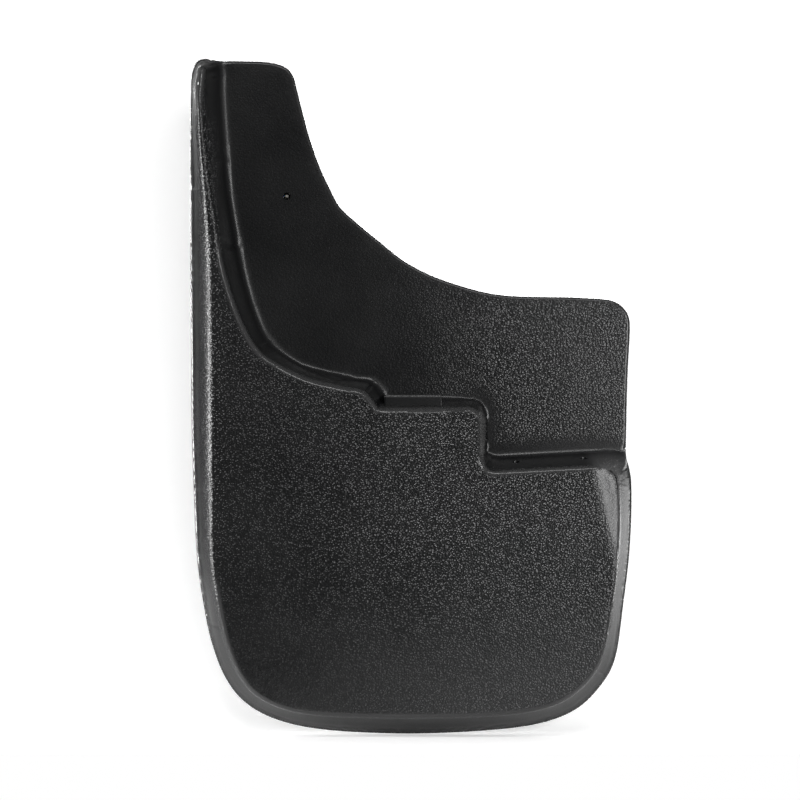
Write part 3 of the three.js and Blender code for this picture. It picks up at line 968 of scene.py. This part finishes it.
def stage_material(name, lift, see_through=False):
    """Matt pale surface, shown a little whiter than the light alone makes it."""
    s = Shader(bpy.data.materials.new(name))
    s.set(Roughness=1.0, Specular_IOR_Level=0.0, Base_Color=STAGE_COLOUR)
    s.set(Emission_Color=(1, 1, 1, 1))
    s.wire(Emission_Strength=s.math("MULTIPLY", seen_white(s, 0.5), lift))
    if see_through:
        clear = s.add("BsdfTransparent").outputs[0]
        back = s.add("NewGeometry").outputs["Backfacing"]
        mix = s.add("MixShader", {0: back, 1: s.surface.outputs[0], 2: clear})
        s.links.new(mix.outputs[0], s.nodes["Material Output"].inputs["Surface"])
    return s.owner


def strip(name, profile, left, right, material):
    """A sheet that follows a profile of (y, z) points from left to right."""
    verts = [(x, y, z) for x in (left, right) for y, z in profile]
    n = len(profile)
    faces = [(i + 1, i, i + n, i + n + 1) for i in range(n - 1)]
    mesh = bpy.data.meshes.new(name)
    mesh.from_pydata(verts, [], faces)
    mesh.materials.append(material)
    mesh.polygons.foreach_set("use_smooth", [True] * len(mesh.polygons))
    obj = placed(name, mesh)
    return obj


FLOOR_Z = CAD_BOX[0].z - 0.0005
BACKDROP_Y, BACKDROP_TOP = 0.04, 1.2
SWEEP = 0.03  # radius of the backdrop's foot
SWEEP_Z = FLOOR_Z + 0.0003  # just clear of the floor
FLOOR_FRONT, FLOOR_BACK = -0.12, 0.6
LEFT, RIGHT = CENTRE.x - 1.6, CENTRE.x + 1.6

strip("floor", [(FLOOR_FRONT, FLOOR_Z), (FLOOR_BACK, FLOOR_Z)], LEFT, RIGHT,
      stage_material("floor_white", 0.4))
arc = [math.radians(a) for a in range(0, 91, 6)]
sweep = [(BACKDROP_Y - SWEEP + SWEEP * math.sin(a), SWEEP_Z + SWEEP * (1 - math.cos(a))) for a in arc]
backdrop = strip("backdrop", [*sweep, (BACKDROP_Y, BACKDROP_TOP)], LEFT, RIGHT,
                 stage_material("backdrop_white", 0.43, see_through=True))
backdrop.visible_shadow = False
backdrop.visible_glossy = False  # the object's walls mirror the room beside it, not the card behind it

LAMPS = {  # azimuth from the camera's side towards +X, elevation, distance, width, height, level
    "key": (34, 2, 1.2, 0.35, 0.5, 0.6),
    "left_strip": (-82, -1, 1.3, 0.5, 0.35, 1.35),
    "right_rim": (134, -6, 1.5, 0.5, 0.25, 0.18),
    "top": (5, 44, 1.4, 1.0, 0.3, 0.4),
    "behind": (180, 12, 1.8, 1.0, 0.6, 0.8),
}


def softbox(name, azimuth, elevation, distance, width, height, level):
    """A lamp that faces the object; at level 1 it alone shows a white card as white."""
    data = bpy.data.lights.new(name, "AREA")
    data.shape, data.size, data.size_y = "RECTANGLE", width, height
    data.energy = level * math.pi**2 * distance**2
    lamp = placed(name, data)
    a, e = math.radians(azimuth), math.radians(elevation)
    away = Vector((math.sin(a) * math.cos(e), -math.cos(a) * math.cos(e), math.sin(e)))
    lamp.location = CENTRE + away * distance
    lamp.rotation_euler = away.to_track_quat("Z", "Y").to_euler()
    lamp.visible_camera = False


for lamp, values in LAMPS.items():
    softbox(lamp, *values)

camera = placed("camera", bpy.data.cameras.new("camera"))
camera.location = CENTRE + Vector((0, -CAMERA_DISTANCE, 0))
camera.rotation_euler = (math.pi / 2, 0, 0)
camera.data.lens = camera.data.sensor_width * CAMERA_DISTANCE / PICTURE_WIDTH
bpy.context.scene.camera = camera


def room():
    """A dim room; what the camera sees of it, and what mirrors see of it behind the object, is white."""
    s = Shader(bpy.data.worlds.new("room"))
    y = s.add("SeparateXYZ", {0: s.coordinates["Generated"]}).outputs["Y"]
    seen = seen_white(s, s.span(y, 0.85, 0.97, 0.0, 1.0))
    s.set(Color=(1, 1, 1, 1))
    return s.wire(Strength=s.span(seen, 0.0, 1.0, ROOM_LEVEL, 1.0))


bpy.context.scene.world = room()
bpy.context.scene.view_settings.view_transform = "Standard"
